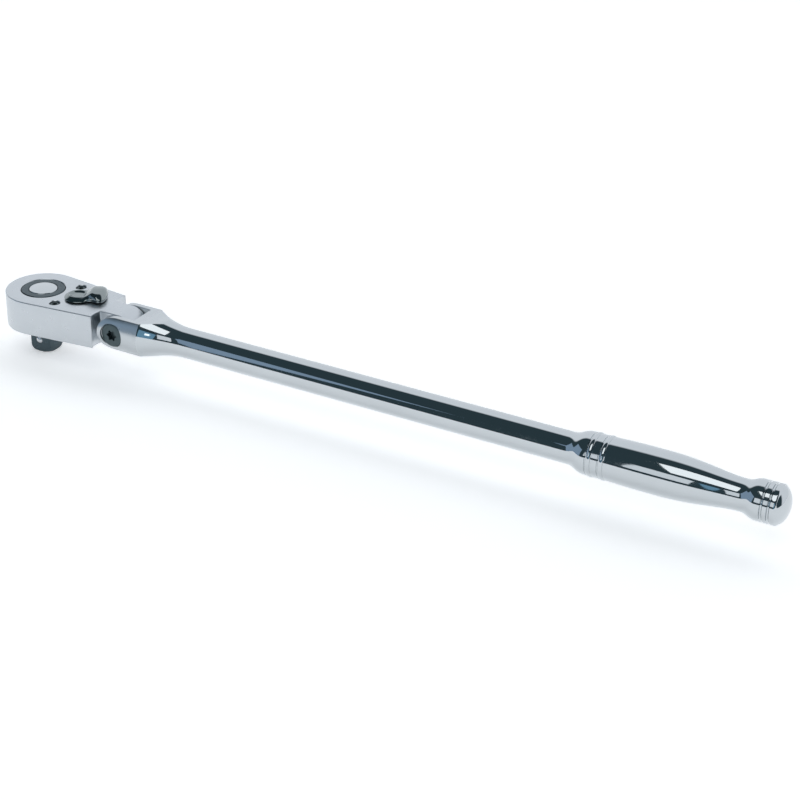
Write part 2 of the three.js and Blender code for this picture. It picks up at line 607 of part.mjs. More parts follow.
// Plan outline of the thumb lever along +X from its pivot: base, waist, then a wide thumb pad.
function leverOutline() {
  const outline = new THREE.Shape();
  outline.moveTo(-7.6, 0);
  outline.bezierCurveTo(-7.6, -4, -4.5, -7.8, 0, -7.8);
  outline.bezierCurveTo(3.5, -7.8, 3.5, -6.2, 6.5, -6.4);
  outline.bezierCurveTo(9, -6.8, 9.5, -8.6, 11.5, -8.4);
  outline.bezierCurveTo(14, -8.2, 15.2, -4, 15.2, 0);
  outline.bezierCurveTo(15.2, 4, 14, 8.2, 11.5, 8.4);
  outline.bezierCurveTo(9.5, 8.6, 9, 6.8, 6.5, 6.4);
  outline.bezierCurveTo(3.5, 6.2, 3.5, 7.8, 0, 7.8);
  outline.bezierCurveTo(-4.5, 7.8, -7.6, 4, -7.6, 0);
  return outline;
}

// Side view of the lever: low base, then rising to the domed pad.
function leverSideOutline() {
  const outline = new THREE.Shape();
  outline.moveTo(-8, LEVER_BASE_Z);
  outline.lineTo(16, LEVER_BASE_Z);
  outline.lineTo(16, LEVER_BASE_TOP - 1);
  outline.quadraticCurveTo(15, LEVER_PAD_TOP, 12, LEVER_PAD_TOP);
  outline.quadraticCurveTo(8, LEVER_PAD_TOP, 5.5, LEVER_BASE_TOP);
  outline.lineTo(-5.5, LEVER_BASE_TOP);
  outline.quadraticCurveTo(-7.6, LEVER_BASE_TOP, -8, LEVER_BASE_Z + 1);
  outline.closePath();
  return outline;
}

function makeReverseLever() {
  const plan = raised(leverOutline(), LEVER_BASE_Z, LEVER_PAD_TOP + 1, 0, 5);
  const crown = aimed(pillar(LEVER_CROWN_RADIUS, -9, 17, 0, 0, 48), [1, 0, 0],
    [0, 0, LEVER_PAD_TOP - LEVER_CROWN_RADIUS]);
  const thumb = plan.intersect(sideways(leverSideOutline(), -12, 12)).intersect(crown);
  const sealGroove = LEVER_SHAFT_RADIUS - 2 * LEVER_SEAL_SECTION;
  const shaft = turned([[0, PLATE_TOP + 0.4], [LEVER_SHAFT_RADIUS, PLATE_TOP + 0.4],
    [LEVER_SHAFT_RADIUS, CLIP_Z - SMALL_GAP], [CLIP_GROOVE_RADIUS, CLIP_Z - SMALL_GAP],
    [CLIP_GROOVE_RADIUS, CLIP_Z + CLIP_THICKNESS + SMALL_GAP],
    [LEVER_SHAFT_RADIUS, CLIP_Z + CLIP_THICKNESS + SMALL_GAP],
    [LEVER_SHAFT_RADIUS, SEAL_Z - 0.7], [sealGroove, SEAL_Z - 0.7], [sealGroove, SEAL_Z + 0.7],
    [LEVER_SHAFT_RADIUS, SEAL_Z + 0.7], [LEVER_SHAFT_RADIUS, LEVER_BASE_Z + 0.5],
    [0, LEVER_BASE_Z + 0.5]], 0, 0, COARSE);
  const bore = aimed(pillar(PLUNGER_RADIUS + 0.2, -PLUNGER_BORE_END, 5, 0, 0, 16),
    [-1, 0, 0], [0, 0, PLUNGER_Z]);
  const lever = swung(cut(join(thumb, shaft), bore), LEVER_ANGLE);
  return aimed(lever, [0, 0, 1], [LEVER_X, 0, 0]);
}

addPiece('reverse_lever', makeReverseLever(), 'smokedChrome');

function makePawlPlunger() {
  const shoulder = PLUNGER_REACH - PLUNGER_RADIUS;
  const tail = PLUNGER_REACH - PLUNGER_LENGTH;
  const profile = [[0, tail], [PLUNGER_RADIUS, tail]];
  for (let i = 0; i < 5; i++) {
    const angle = Math.PI / 2 * i / 4;
    profile.push([PLUNGER_RADIUS * Math.cos(angle), shoulder + PLUNGER_RADIUS * Math.sin(angle)]);
  }
  profile[profile.length - 1][0] = 0;
  return aimed(turned(profile, 0, 0, 16), PLUNGER_AIM, LEVER_AXIS);
}

addPiece('pawl_plunger', makePawlPlunger(), 'steel');

const pawlSpringLength = PLUNGER_REACH - PLUNGER_LENGTH + PLUNGER_BORE_END - 2 * SMALL_GAP;
const pawlSpringStart = SMALL_GAP - PLUNGER_BORE_END;
addPiece('pawl_spring', aimed(spring(1, 0.25, pawlSpringLength, 4), PLUNGER_AIM,
  [LEVER_X + pawlSpringStart * PLUNGER_AIM[0], pawlSpringStart * PLUNGER_AIM[1], PLUNGER_Z]), 'steel');

addPiece('lever_seal', oRing(LEVER_SHAFT_RADIUS - LEVER_SEAL_SECTION + 0.1, LEVER_SEAL_SECTION,
  SEAL_Z, LEVER_X, COARSE), 'rubber');

// An open retaining clip under the roof of the head.
function makeLeverClip() {
  const clip = ring(CLIP_GROOVE_RADIUS + SMALL_GAP, 4.6, CLIP_Z, CLIP_Z + CLIP_THICKNESS, LEVER_X, COARSE);
  const mouth = block(LEVER_X, LEVER_X + 6, -1.5, 1.5, CLIP_Z - 1, CLIP_Z + 2);
  return cut(clip, mouth);
}

addPiece('lever_clip', makeLeverClip(), 'steel');

export default wrench;
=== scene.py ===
import json
import math

import bmesh
import bpy
from mathutils import Matrix, Vector
from mathutils.geometry import interpolate_bezier

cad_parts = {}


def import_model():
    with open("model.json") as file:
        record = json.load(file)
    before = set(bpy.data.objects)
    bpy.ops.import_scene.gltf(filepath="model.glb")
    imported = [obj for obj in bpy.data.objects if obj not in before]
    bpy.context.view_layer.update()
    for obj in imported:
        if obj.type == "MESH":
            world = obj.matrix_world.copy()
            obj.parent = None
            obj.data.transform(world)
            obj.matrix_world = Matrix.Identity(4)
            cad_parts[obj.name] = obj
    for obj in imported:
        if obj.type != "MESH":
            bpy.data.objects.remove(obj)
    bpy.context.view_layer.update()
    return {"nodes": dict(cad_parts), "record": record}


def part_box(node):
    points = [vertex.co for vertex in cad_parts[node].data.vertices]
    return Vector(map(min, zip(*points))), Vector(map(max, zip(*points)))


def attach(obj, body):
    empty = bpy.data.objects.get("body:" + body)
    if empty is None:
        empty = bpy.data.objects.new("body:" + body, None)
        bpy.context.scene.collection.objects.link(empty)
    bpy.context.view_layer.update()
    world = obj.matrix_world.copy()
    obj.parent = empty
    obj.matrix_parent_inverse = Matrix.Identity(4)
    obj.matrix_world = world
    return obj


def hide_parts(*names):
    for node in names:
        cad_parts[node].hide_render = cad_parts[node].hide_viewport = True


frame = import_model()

# ---- Handle ----------------------------------------------------------------
# One steel forging: slotted yoke, tapered shank, round rod and a turned grip with beads, a waist
# and a grooved end knob. It is ground, polished and plated with bright chrome.

MM = 0.001


def place_of(joint_name):
    """Where a joint sits, in millimetres."""
    for joint in frame["record"]["behaviour"]["joints"]:
        if joint["name"] == joint_name:
            return Vector(joint["pos_m"]) / MM


def extent(node):
    """Lowest and highest corner of a node, in millimetres."""
    low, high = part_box(node)
    return Vector(low) / MM, Vector(high) / MM


def run_of_edges(bm, points):
    """Corners at `points`, joined one after another."""
    verts = [bm.verts.new(point) for point in points]
    return verts, [bm.edges.new(pair) for pair in zip(verts, verts[1:])]


def turned(points, centre, axis, steps):
    """A round body: the half section in `points`, spun once round the axis."""
    bm = bmesh.new()
    verts, edges = run_of_edges(bm, points)
    bmesh.ops.spin(bm, geom=verts + edges, cent=centre, axis=axis, angle=2 * math.pi,
                   steps=steps, use_merge=True)
    bmesh.ops.remove_doubles(bm, verts=bm.verts, dist=1e-4)
    bmesh.ops.recalc_face_normals(bm, faces=bm.faces)
    return bm


def block(low, high):
    """A plain box between two corners."""
    bm = bmesh.new()
    middle = (Vector(low) + Vector(high)) / 2
    size = Vector(high) - Vector(low)
    bmesh.ops.create_cube(bm, size=1,
                          matrix=Matrix.Translation(middle) @ Matrix.Diagonal((*size, 1)))
    return bm


def plate(outline, lift):
    """A flat outline pulled into a closed slab along `lift`."""
    bm = bmesh.new()
    verts, edges = run_of_edges(bm, outline)
    edges.append(bm.edges.new((verts[-1], verts[0])))
    face = bmesh.ops.contextual_create(bm, geom=edges)["faces"]
    pulled = bmesh.ops.extrude_face_region(bm, geom=face)["geom"]
    bmesh.ops.translate(bm, vec=lift, verts=[v for v in pulled if isinstance(v, bmesh.types.BMVert)])
    bmesh.ops.recalc_face_normals(bm, faces=bm.faces)
    return bm


def carve(body, tool, how="DIFFERENCE"):
    """Cuts one closed body with another; the tool is used up."""
    blanks = []
    for part in (body, tool):
        mesh = bpy.data.meshes.new("blank")
        part.to_mesh(mesh)
        blank = bpy.data.objects.new("blank", mesh)
        bpy.context.scene.collection.objects.link(blank)
        blanks.append(blank)
    saw = blanks[0].modifiers.new("saw", "BOOLEAN")
    saw.operation = how
    saw.solver = "EXACT"
    saw.object = blanks[1]
    bpy.context.view_layer.update()
    cut = blanks[0].evaluated_get(bpy.context.evaluated_depsgraph_get())
    body.clear()
    body.from_mesh(cut.to_mesh())
    cut.to_mesh_clear()
    for blank in blanks:
        bpy.data.meshes.remove(blank.data)
    tool.free()
    bmesh.ops.remove_doubles(body, verts=body.verts, dist=0.004)
    bmesh.ops.dissolve_degenerate(body, edges=body.edges, dist=0.004)


def soften(bm, width, chosen=lambda middle: True, steps=3, sharper_than=35):
    """Rounds every sharp edge whose middle is chosen."""
    limit = math.radians(sharper_than)
    edges = [e for e in bm.edges if len(e.link_faces) == 2 and e.calc_face_angle(0) > limit
             and chosen((e.verts[0].co + e.verts[1].co) / 2)]
    bmesh.ops.bevel(bm, geom=edges, offset=width, offset_type="OFFSET", segments=steps,
                    profile=0.5, affect="EDGES", clamp_overlap=False, material=-1)


def make_piece(bm, name, material, body, nodes, crease=32):
    """Turns a finished shape, still in millimetres, into a piece that stands for CAD nodes."""
    bmesh.ops.scale(bm, vec=(MM, MM, MM), verts=bm.verts)
    mesh = bpy.data.meshes.new(name)
    bm.to_mesh(mesh)
    bm.free()
    mesh.polygons.foreach_set("use_smooth", [True] * len(mesh.polygons))
    mesh.set_sharp_from_angle(angle=math.radians(crease))
    mesh.materials.append(material)
    piece = bpy.data.objects.new(name, mesh)
    bpy.context.scene.collection.objects.link(piece)
    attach(piece, body)
    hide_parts(*nodes)
    return piece


def plated_metal(name, colour, shade, roughness, spread, grain, bump, stretch=(1, 1, 1),
                 metallic=1.0):
    """Metal whose colour drifts from `colour` to `shade`, whose polish wanders by `spread`, and
    whose surface carries a fine grain of `grain` lines to the metre, drawn out by `stretch`."""
    material = bpy.data.materials.new(name)
    material.use_nodes = True
    tree = material.node_tree
    shader = tree.nodes["Principled BSDF"]
    shader.inputs["Metallic"].default_value = metallic

    place = tree.nodes.new("ShaderNodeTexCoord")
    drift = tree.nodes.new("ShaderNodeTexNoise")
    drift.inputs["Scale"].default_value = 38
    drift.inputs["Detail"].default_value = 4
    tree.links.new(place.outputs["Object"], drift.inputs["Vector"])
    tint = tree.nodes.new("ShaderNodeMix")
    tint.data_type = "RGBA"
    tint.inputs[6].default_value = (*colour, 1)
    tint.inputs[7].default_value = (*shade, 1)
    tree.links.new(drift.outputs["Fac"], tint.inputs[0])
    tree.links.new(tint.outputs[2], shader.inputs["Base Color"])

    # Rubbed and handled places are a little duller than the rest.
    handled = tree.nodes.new("ShaderNodeTexNoise")
    handled.inputs["Scale"].default_value = 260
    handled.inputs["Detail"].default_value = 6
    handled.inputs["Roughness"].default_value = 0.62
    tree.links.new(place.outputs["Object"], handled.inputs["Vector"])
    polish = tree.nodes.new("ShaderNodeMapRange")
    polish.inputs["From Min"].default_value = 0.3
    polish.inputs["From Max"].default_value = 0.72
    polish.inputs["To Min"].default_value = roughness - spread
    polish.inputs["To Max"].default_value = roughness + spread
    tree.links.new(handled.outputs["Fac"], polish.inputs["Value"])
    tree.links.new(polish.outputs["Result"], shader.inputs["Roughness"])

    draw = tree.nodes.new("ShaderNodeMapping")
    draw.inputs["Scale"].default_value = stretch
    lines = tree.nodes.new("ShaderNodeTexNoise")
    lines.inputs["Scale"].default_value = grain
    lines.inputs["Detail"].default_value = 3
    relief = tree.nodes.new("ShaderNodeBump")
    relief.inputs["Strength"].default_value = bump
    relief.inputs["Distance"].default_value = 0.00004
    tree.links.new(place.outputs["Object"], draw.inputs["Vector"])
    tree.links.new(draw.outputs["Vector"], lines.inputs["Vector"])
    tree.links.new(lines.outputs["Fac"], relief.inputs["Height"])
    tree.links.new(relief.outputs["Normal"], shader.inputs["Normal"])
    return material


pivot = place_of("head_tilt")
axis_z = pivot.z
handle_low, handle_high = extent("handle")
yoke_radius = (handle_high.y - handle_low.y) / 2
butt_x = handle_high.x
yoke_front = handle_low.x
ROUNDS = 256                  # spin steps round the handle
FLAT_STEP = 30                # spun edges from the yoke's side up to its milled flats
FLAT_HALF = 9.2               # half the height between the milled flats
taper_x = pivot.x + 15.8      # crease where the yoke's round sides turn into the taper
flat_end_x = taper_x + 13     # just past where the milled flats run out in the taper
slot_end_x = pivot.x + 10.8
SLOT_HALF = 7.35
EAR_RADIUS = 9                # round front of each ear, seen from the side
ROD_START_X = 91
ROD_END_X = 308
ROD_RADIUS = 7.93
COLLAR_X = 318
COLLAR_RADIUS = 10.6
BEADS_X = (321.3, 327.7)
BEAD_SINK = 0.25              # depth of the fine grooves beside each bead
BARREL_X = 352
BARREL_RADIUS = 11
NECK_X = 394
NECK_RADIUS = 7.8
KNOB_X = 402.4
KNOB_RADIUS = 9.9
GROOVES_X = (405.6, 409)
KNOB_EDGE_X = 411.2
OUTSIDE = 18                  # cutters reach this far from the handle's axis


def out(x, radius):
    """A point of the handle's half section."""
    return Vector((x, 0, axis_z + radius))


def swell(points, steps):
    """One smooth stretch from the first point to the last, leaning on the two between."""
    return interpolate_bezier(*points, steps)[1:]


section = [out(yoke_front - 1, 0), out(yoke_front - 1, yoke_radius), out(taper_x, yoke_radius)]
section += swell([section[-1], out(taper_x + 2.9, yoke_radius - 1.95),
                  out(taper_x + 11.5, ROD_RADIUS + 0.36), out(ROD_START_X, ROD_RADIUS)], 40)
section += [out(x, ROD_RADIUS) for x in range(100, ROD_END_X, 16)]
section += swell([out(ROD_END_X, ROD_RADIUS), out(312.5, ROD_RADIUS), out(313.5, COLLAR_RADIUS - 0.1),
                  out(COLLAR_X, COLLAR_RADIUS)], 20)
for bead_x in BEADS_X:
    foot_radius = COLLAR_RADIUS - BEAD_SINK
    section += [out(bead_x - 1.75, COLLAR_RADIUS), out(bead_x - 1.6, foot_radius),
                out(bead_x - 1.2, foot_radius)]
    section += swell([out(bead_x - 1.2, foot_radius), out(bead_x - 0.9, COLLAR_RADIUS + 0.5),
                      out(bead_x + 0.9, COLLAR_RADIUS + 0.5), out(bead_x + 1.2, foot_radius)], 12)
    section += [out(bead_x + 1.6, foot_radius), out(bead_x + 1.75, COLLAR_RADIUS)]
section += swell([section[-1], out(338, 10.95), out(345, BARREL_RADIUS), out(BARREL_X, BARREL_RADIUS)], 8)
section += swell([section[-1], out(373, 11.2), out(383, NECK_RADIUS + 0.1), out(NECK_X, NECK_RADIUS)], 30)
section += swell([section[-1], out(398, NECK_RADIUS), out(398.5, KNOB_RADIUS - 0.1),
                  out(KNOB_X, KNOB_RADIUS)], 18)
for groove_x in GROOVES_X:
    section.append(out(groove_x - 0.75, KNOB_RADIUS))
    section += swell([section[-1], out(groove_x - 0.35, KNOB_RADIUS - 1),
                      out(groove_x + 0.35, KNOB_RADIUS - 1), out(groove_x + 0.75, KNOB_RADIUS)], 12)
section += [out(KNOB_EDGE_X, KNOB_RADIUS)]
section += swell([section[-1], out(411.8, KNOB_RADIUS), out(412.2, 9.6), out(412.4, 9.2)], 8)
section += swell([section[-1], out(415, 7.6), out(butt_x, 4), out(butt_x, 0)], 20)
handle = turned(section, (0, 0, axis_z), (1, 0, 0), ROUNDS)


def ear_front(height):
    """How far forward an ear reaches at a height over the axis: round, seen from the side."""
    left = 1 - math.sqrt(1 - min(1, abs(height) / FLAT_HALF))
    return pivot.x - EAR_RADIUS + (EAR_RADIUS + 2) * left ** 2 if left < 1 else pivot.x + 2


def at_side(x, height):
    """A corner of the cutter beside the handle, at a height over the axis."""
    return Vector((x, -OUTSIDE, axis_z + height))


ear_steps = [yoke_radius * math.sin(2 * math.pi * step / ROUNDS)
             for step in range(-FLAT_STEP, FLAT_STEP + 1)]
tips = [FLAT_HALF * (1 - t * t) for t in (0.05, 0.1, 0.15, 0.2)]
tips = [z for z in tips if z > ear_steps[-2]]
ear_steps = [-z for z in tips] + ear_steps[1:-1] + tips
ahead = yoke_front - 9
rim = [at_side(flat_end_x, -OUTSIDE), at_side(flat_end_x, -FLAT_HALF), at_side(pivot.x + 2, -FLAT_HALF)]
rim += [at_side(ear_front(z), z) for z in sorted(ear_steps)]
rim += [at_side(pivot.x + 2, FLAT_HALF), at_side(flat_end_x, FLAT_HALF), at_side(flat_end_x, OUTSIDE),
        at_side(ahead, OUTSIDE), at_side(ahead, -OUTSIDE)]
carve(handle, plate(rim, (0, 2 * OUTSIDE, 0)))
carve(handle, block((ahead, -SLOT_HALF, axis_z - OUTSIDE), (slot_end_x, SLOT_HALF, axis_z + OUTSIDE)))
soften(handle, 0.25, lambda middle: middle.x < taper_x - 0.2)

SCREW_FACE_Y = -12.9
SCREW_HEAD = 6.3
SCREW_SHANK = 3.4


def beside(y, radius):
    """A point of a half section turned about the flex joint's axis."""
    return Vector((pivot.x + radius, y, axis_z))


seat_floor = SCREW_FACE_Y + 0.3
seat = [beside(-OUTSIDE, 0), beside(-OUTSIDE, SCREW_HEAD + 0.3), beside(seat_floor, SCREW_HEAD + 0.3),
        beside(seat_floor + SCREW_HEAD - SCREW_SHANK, SCREW_SHANK + 0.25),
        beside(OUTSIDE, SCREW_SHANK + 0.25), beside(OUTSIDE, 0)]
carve(handle, turned(seat, pivot, (0, 1, 0), 96))
DETENT_BORE = 2.4
DETENT_END_X = 74
bore = [out(slot_end_x - 1, 0), out(slot_end_x - 1, DETENT_BORE), out(DETENT_END_X, DETENT_BORE),
        out(DETENT_END_X, 0)]
carve(handle, turned(bore, (0, 0, axis_z), (1, 0, 0), 48))

bright_chrome = plated_metal("bright_chrome", (0.57, 0.60, 0.62), (0.53, 0.56, 0.58), 0.05, 0.02,
                             grain=900, bump=0.05, stretch=(0.12, 1, 1))

# The yoke is only ground and plated, so it stays duller than the polished taper behind its crease.
forged_chrome = bright_chrome.copy()
forged_chrome.name = "forged_chrome"
forged = forged_chrome.node_tree
along = forged.nodes.new("ShaderNodeSeparateXYZ")
behind = forged.nodes.new("ShaderNodeMapRange")
behind.inputs["From Min"].default_value = (taper_x - 0.1) * MM
behind.inputs["From Max"].default_value = (taper_x + 0.1) * MM
behind.inputs["To Min"].default_value = 0.24
behind.inputs["To Max"].default_value = 0
duller = forged.nodes.new("ShaderNodeMath")
duller.operation = "ADD"
forged_shader = forged.nodes["Principled BSDF"]
forged_place = next(node for node in forged.nodes if node.type == "TEX_COORD")
forged.links.new(forged_place.outputs["Object"], along.inputs["Vector"])
forged.links.new(along.outputs["X"], behind.inputs["Value"])
forged.links.new(forged_shader.inputs["Roughness"].links[0].from_socket, duller.inputs[0])
forged.links.new(behind.outputs["Result"], duller.inputs[1])
forged.links.new(duller.outputs["Value"], forged_shader.inputs["Roughness"])
make_piece(handle, "handle_forging", forged_chrome, "handle", ["handle"])

# ---- Pivot screw -----------------------------------------------------------
# The flex joint's pin: a countersunk screw of turned and blackened steel, driven by a six-lobed
# recess. It goes through both ears of the yoke and the head's tongue.


def lobed(radius, y):
    """Six-lobed key outline round the flex joint's axis."""
    points = []
    for step in range(72):
        angle = 2 * math.pi * step / 72
        reach = radius * (0.85 + 0.15 * math.cos(6 * angle))
        points.append(Vector((pivot.x + reach * math.cos(angle), y, axis_z + reach * math.sin(angle))))
    return points


pin = [beside(SCREW_FACE_Y, 0), beside(SCREW_FACE_Y, SCREW_HEAD - 0.55),
       beside(SCREW_FACE_Y + 0.06, SCREW_HEAD - 0.4),
       beside(SCREW_FACE_Y + 0.25, SCREW_HEAD - 0.05), beside(SCREW_FACE_Y + 0.5, SCREW_HEAD),
       beside(SCREW_FACE_Y + 0.5 + SCREW_HEAD - SCREW_SHANK, SCREW_SHANK), beside(11.9, SCREW_SHANK),
       beside(12.2, SCREW_SHANK - 0.3), beside(12.2, 0)]
pivot_screw = turned(pin, pivot, (0, 1, 0), 96)
carve(pivot_screw, plate(lobed(3.1, SCREW_FACE_Y - 1), (0, 3.4, 0)))
black_oxide = plated_metal("black_oxide", (0.06, 0.088, 0.096), (0.085, 0.112, 0.12), 0.38, 0.08,
                           grain=2600, bump=0.35, metallic=0.75)
make_piece(pivot_screw, "pivot_screw_turned", black_oxide, "handle", ["pivot_screw"])

# ---- Head housing ----------------------------------------------------------
# A pear-shaped forging with the tongue that the yoke holds. Its gear room is open below, and its
# faces are ground, blasted and plated with satin chrome.

head_low, head_high = extent("head_housing")
head_top = head_high.z
head_bottom = head_low.z
HEAD_RADIUS = 19.8
FLANK = math.radians(6.2)
SHOULDER_X = 42.3
SHOULDER_DISH = 0.8
TONGUE_HALF = 7.1
tongue_radius = (head_top - head_bottom) / 2


def arc(centre, radius, start, end, steps, z):
    """Points of an arc in plan, angles in radians from +X."""
    return [Vector((centre[0] + radius * math.cos(start + (end - start) * i / steps),
                    centre[1] + radius * math.sin(start + (end - start) * i / steps), z))
            for i in range(steps + 1)]


def flank_y(radius, x):
    """Half width of the pear at x, on the straight flank that runs on from its round nose."""
    return radius * math.cos(FLANK) - (x - radius * math.sin(FLANK)) * math.tan(FLANK)


def pear(radius, tail_x, tail_round, z):
    """Pear outline in plan with a square tail whose two corners are rounded."""
    corner_y = flank_y(radius, tail_x) - tail_round
    nose = arc((0, 0), radius, math.pi / 2 - FLANK, 1.5 * math.pi + FLANK, 120, z)
    near = arc((tail_x - tail_round, -corner_y), tail_round, -math.pi / 2, 0, 8, z)
    far = arc((tail_x - tail_round, corner_y), tail_round, 0, math.pi / 2, 8, z)
    return nose + near + far


def upright(points, x=0, y=0, steps=96):
    """A round body about a vertical axis from (radius, height) pairs."""
    return turned([Vector((x + radius, y, z)) for radius, z in points], (x, y, 0), (0, 0, 1), steps)


def drill(radius, low, high, x=0, y=0, steps=96):
    """An upright cylinder, for round holes."""
    return upright([(0, low), (radius, low), (radius, high), (0, high)], x, y, steps)


head = plate(pear(HEAD_RADIUS, SHOULDER_X, 0.6, head_bottom), (0, 0, head_top - head_bottom))
half_dish = 4.1
dish_radius = (half_dish ** 2 + SHOULDER_DISH ** 2) / (2 * SHOULDER_DISH)
for side in (-1, 1):
    carve(head, drill(dish_radius, head_bottom - 1, head_top + 1, SHOULDER_X - SHOULDER_DISH + dish_radius,
                      side * (TONGUE_HALF + half_dish), 256))
round_end = [Vector((pivot.x + tongue_radius * math.sin(math.pi * i / 48), -TONGUE_HALF,
                     axis_z - tongue_radius * math.cos(math.pi * i / 48))) for i in range(49)]
tongue = plate([Vector((SHOULDER_X - 4, -TONGUE_HALF, head_bottom))] + round_end
               + [Vector((SHOULDER_X - 4, -TONGUE_HALF, head_top))], (0, 2 * TONGUE_HALF, 0))
carve(head, tongue, "UNION")
bmesh.ops.dissolve_limit(head, angle_limit=math.radians(0.3), verts=head.verts, edges=head.edges)
soften(head, 0.5, steps=4)

GEAR_ROOM = 13.0
HUB_RADIUS = 11.45
roof_z = head_top - 4.2
plate_top = head_bottom + 2.8
LEVER_X = place_of("lever_flip").x
below = head_bottom - 1
carve(head, drill(GEAR_ROOM, below, roof_z))
carve(head, upright([(0, below), (HUB_RADIUS + 0.35, below), (HUB_RADIUS + 0.35, head_top - 0.25),
                     (HUB_RADIUS + 0.85, head_top + 0.25), (HUB_RADIUS + 0.85, head_top + 1),
                     (0, head_top + 1)], steps=160))
carve(head, drill(5.5, below, roof_z, LEVER_X))
carve(head, drill(3.65, below, head_top + 1, LEVER_X))
carve(head, block((0, -9.6, below), (15.4, 9.6, roof_z)))
carve(head, plate(pear(HEAD_RADIUS - 2.35, 31.25, 6, below), (0, 0, plate_top - below)))
SCREW_X = 16.2
SCREW_Y = 11.4
SCREW_HOLE = 2.25
for side in (-1, 1):
    carve(head, upright([(0, below), (SCREW_HOLE, below), (SCREW_HOLE, head_top - 3.65),
                         (2.8, head_top - 3.65), (2.8, head_top - 0.35), (3.2, head_top + 0.05),
                         (3.2, head_top + 1), (0, head_top + 1)],
                        SCREW_X, side * SCREW_Y, 64))
washer_seat = [beside(6.4, 0), beside(6.4, 6.75), beside(8, 6.75), beside(8, 0)]
for side in (-1, 1):
    carve(head, turned([Vector((p.x, side * p.y, p.z)) for p in washer_seat], pivot, (0, 1, 0), 96))
carve(head, turned([beside(-9, 0), beside(-9, 3.65), beside(9, 3.65), beside(9, 0)], pivot, (0, 1, 0), 64))
satin_chrome = plated_metal("satin_chrome", (0.58, 0.61, 0.635), (0.54, 0.57, 0.6), 0.3, 0.04,
                            grain=5200, bump=0.1)
make_piece(head, "head_forging", satin_chrome, "head", ["head_housing"])

# ---- Cover plate and its screws ---------------------------------------------
# A flat steel plate let into the underside closes the gear room. Two black screws come down from
# the top of the head, their heads sunk in counterbores.

cover = plate(pear(HEAD_RADIUS - 2.6, 31, 6, head_bottom), (0, 0, plate_top - head_bottom))
soften(cover, 0.2)
carve(cover, upright([(0, below), (10.2, below), (10.2, head_bottom - 0.05), (9.85, head_bottom + 0.3),
                      (9.85, plate_top + 1), (0, plate_top + 1)], steps=128))
for side in (-1, 1):
    carve(cover, drill(SCREW_HOLE, below, plate_top + 1, SCREW_X, side * SCREW_Y, 48))
make_piece(cover, "cover_plate_ground", satin_chrome, "head", ["cover_plate"])

for name, side in (("cover_screw_near", -1), ("cover_screw_far", 1)):
    low, high = extent(name)
    top = high.z
    screw = upright([(0, low.z), (1.7, low.z), (2, low.z + 0.3), (2, top - 2.8), (2.6, top - 2.8),
                     (2.6, top - 0.5), (2.35, top - 0.12), (2.0, top), (0, top)],
                    SCREW_X, side * SCREW_Y, 64)
    socket = upright([(0, top - 1.7), (1.35, top - 1.4), (1.35, top - 0.1), (1.6, top + 0.15),
                      (1.6, top + 1), (0, top + 1)], SCREW_X, side * SCREW_Y, 6)
    carve(screw, socket)
    make_piece(screw, name + "_head", black_oxide, "head", [name])

# ---- Drive gear -------------------------------------------------------------
# Hub, ratchet teeth, lower journal and the square drive are one piece of blackened steel. The
# square's corners and its end are turned, and the near face holds the socket ball.

hub_top = extent("drive_gear")[1].z
HALF_ACROSS = 6.35
CORNER_RADIUS = 8.3
END_RADIUS = 6.3
END_HEIGHT = 3.2
gear_bottom = plate_top + 0.25
gear_top = roof_z - 1
BUTTON_SEAT = 7.65
cap_floor = roof_z - 0.4
spring_floor = axis_z - 4
seal_z = head_top - 2.4
hub_half = [(0, spring_floor), (4.4, spring_floor), (4.4, cap_floor), (BUTTON_SEAT, cap_floor),
            (BUTTON_SEAT, hub_top - 0.25), (BUTTON_SEAT + 0.25, hub_top), (HUB_RADIUS - 0.35, hub_top),
            (HUB_RADIUS, hub_top - 0.3), (HUB_RADIUS, seal_z + 0.75), (HUB_RADIUS - 1, seal_z + 0.75),
            (HUB_RADIUS - 1, seal_z - 0.75), (HUB_RADIUS, seal_z - 0.75), (HUB_RADIUS, gear_top),
            (11.7, gear_top), (11.7, gear_bottom), (9.6, gear_bottom), (9.6, head_bottom + 0.3),
            (9.4, head_bottom + 0.1), (0, head_bottom + 0.1)]
gear = upright(hub_half, steps=160)
TEETH = 48
crown = []
for step in range(2 * TEETH):
    angle = math.pi * step / TEETH
    radius = 12.6 if step % 2 else 11.6
    crown.append(Vector((radius * math.cos(angle), radius * math.sin(angle), gear_bottom)))
carve(gear, plate(crown, (0, 0, gear_top - gear_bottom)), "UNION")
carve(gear, drill(4.4, spring_floor, hub_top + 1, steps=96))
carve(gear, drill(BUTTON_SEAT, cap_floor, hub_top + 1, steps=160))
square = block((-HALF_ACROSS, -HALF_ACROSS, 0), (HALF_ACROSS, HALF_ACROSS, head_bottom + 0.3))
lathe_cut = [(0, 0), (END_RADIUS, 0)]
for step in range(1, 13):
    angle = math.pi / 2 * step / 12
    lathe_cut.append((END_RADIUS + (CORNER_RADIUS - END_RADIUS) * math.sin(angle),
                      END_HEIGHT * (1 - math.cos(angle))))
lathe_cut += [(CORNER_RADIUS, head_bottom + 0.3), (0, head_bottom + 0.3)]
carve(square, upright(lathe_cut, steps=160), "INTERSECT")
soften(square, 0.22, lambda middle: middle.z < head_bottom, sharper_than=12)
for vert in square.verts:
    vert.co.z = max(vert.co.z, 0)        # the rounding may not reach below the flat end
carve(gear, square, "UNION")
carve(gear, drill(2.65, 1.6, spring_floor + 1, steps=64))
ball_low, ball_high = extent("socket_ball")
ball_middle = (ball_low + ball_high) / 2
BALL_HOLE = 2.6


def before(y, radius):
    """A point of a half section turned about the ball's hole."""
    return Vector((radius, y, ball_middle.z))


